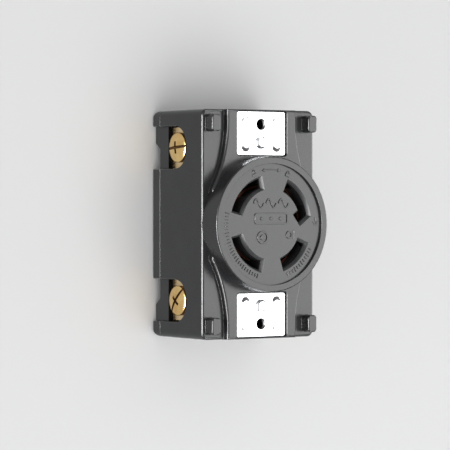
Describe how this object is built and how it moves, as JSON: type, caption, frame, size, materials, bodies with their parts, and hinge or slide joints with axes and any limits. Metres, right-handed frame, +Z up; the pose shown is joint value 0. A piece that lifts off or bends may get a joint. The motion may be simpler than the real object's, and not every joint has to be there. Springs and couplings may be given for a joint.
{
  "type": "panel-mount locking receptacle",
  "caption": "Flush locking power receptacle: round socket face with curved blade slots, two steel ears and side clamp terminals in a black moulded body.",
  "frame": {"origin": "centre of the round socket face", "axes": "-Y out of the socket face towards the plug, +Z up along the body's long side, +X to the right of someone facing the socket"},
  "size_m": [0.041, 0.0341, 0.0688],
  "materials": {
    "housing_plastic": "black-grey moulded thermoset, satin",
    "cover_plastic": "black-grey moulded thermoset, satin",
    "block_plastic": "black moulded thermoset, dull",
    "zinc_steel": "bright zinc plate on pressed steel",
    "strap_steel": "zinc-plated steel strip",
    "clamp_steel": "plated steel, stamped",
    "screw_steel": "zinc-plated steel",
    "screw_brass": "polished brass screw",
    "ground_screw_green": "green-passivated screw",
    "terminal_brass": "stamped brass, mill finish",
    "rivet_brass": "brass rivet",
    "contact_copper": "copper alloy spring contact"
  },
  "bodies": {
    "root": {"front_housing": "housing_plastic", "back_plate": "cover_plastic", "contact_block": "block_plastic", "bonding_strap": "strap_steel", "mounting_ear_upper": "zinc_steel", "mounting_ear_lower": "zinc_steel", "ear_rivet_upper": "zinc_steel", "ear_rivet_lower": "zinc_steel", "line_contact_upper_left": "contact_copper", "contact_rivet_upper_left": "rivet_brass", "terminal_plate_upper_left": "terminal_brass", "assembly_screw_upper_left": "screw_steel", "line_contact_lower_left": "contact_copper", "contact_rivet_lower_left": "rivet_brass", "terminal_plate_lower_left": "terminal_brass", "assembly_screw_lower_left": "screw_steel", "line_contact_lower_right": "contact_copper", "contact_rivet_lower_right": "rivet_brass", "terminal_plate_lower_right": "terminal_brass", "assembly_screw_lower_right": "screw_steel", "ground_contact": "contact_copper", "contact_rivet_upper_right": "rivet_brass", "terminal_plate_upper_right": "terminal_brass", "assembly_screw_upper_right": "screw_steel"},
    "screw_upper_left": {"terminal_screw_upper_left": "screw_brass"},
    "clamp_upper_left": {"clamp_plate_upper_left": "clamp_steel"},
    "screw_lower_left": {"terminal_screw_lower_left": "screw_brass"},
    "clamp_lower_left": {"clamp_plate_lower_left": "clamp_steel"},
    "screw_lower_right": {"terminal_screw_lower_right": "screw_brass"},
    "clamp_lower_right": {"clamp_plate_lower_right": "clamp_steel"},
    "screw_upper_right": {"terminal_screw_upper_right": "ground_screw_green"},
    "clamp_upper_right": {"clamp_plate_upper_right": "clamp_steel"}
  },
  "joints": [
    {"name": "screw_turn_upper_left", "type": "hinge", "parent": "root", "child": "screw_upper_left", "pos_m": [-0.0182, 0.0215, 0.0231], "axis": [1, 0, 0], "range_deg": [0, 1697.2]},
    {"name": "clamp_travel_upper_left", "type": "slide", "parent": "root", "child": "clamp_upper_left", "axis": [-1, 0, 0], "range_m": [0, 0.0033]},
    {"name": "screw_turn_lower_left", "type": "hinge", "parent": "root", "child": "screw_lower_left", "pos_m": [-0.0182, 0.0215, -0.0231], "axis": [1, 0, 0], "range_deg": [0, 1697.2]},
    {"name": "clamp_travel_lower_left", "type": "slide", "parent": "root", "child": "clamp_lower_left", "axis": [-1, 0, 0], "range_m": [0, 0.0033]},
    {"name": "screw_turn_lower_right", "type": "hinge", "parent": "root", "child": "screw_lower_right", "pos_m": [0.0182, 0.0215, -0.0231], "axis": [-1, 0, 0], "range_deg": [0, 1697.2]},
    {"name": "clamp_travel_lower_right", "type": "slide", "parent": "root", "child": "clamp_lower_right", "axis": [1, 0, 0], "range_m": [0, 0.0033]},
    {"name": "screw_turn_upper_right", "type": "hinge", "parent": "root", "child": "screw_upper_right", "pos_m": [0.0182, 0.0215, 0.0231], "axis": [-1, 0, 0], "range_deg": [0, 1697.2]},
    {"name": "clamp_travel_upper_right", "type": "slide", "parent": "root", "child": "clamp_upper_right", "axis": [1, 0, 0], "range_m": [0, 0.0033]}
  ],
  "couplings": [
    {"joint": "screw_turn_upper_left", "follows": "clamp_travel_upper_left", "rad_per_m": 8976},
    {"joint": "screw_turn_lower_left", "follows": "clamp_travel_lower_left", "rad_per_m": 8976},
    {"joint": "screw_turn_lower_right", "follows": "clamp_travel_lower_right", "rad_per_m": 8976},
    {"joint": "screw_turn_upper_right", "follows": "clamp_travel_upper_right", "rad_per_m": 8976}
  ]
}
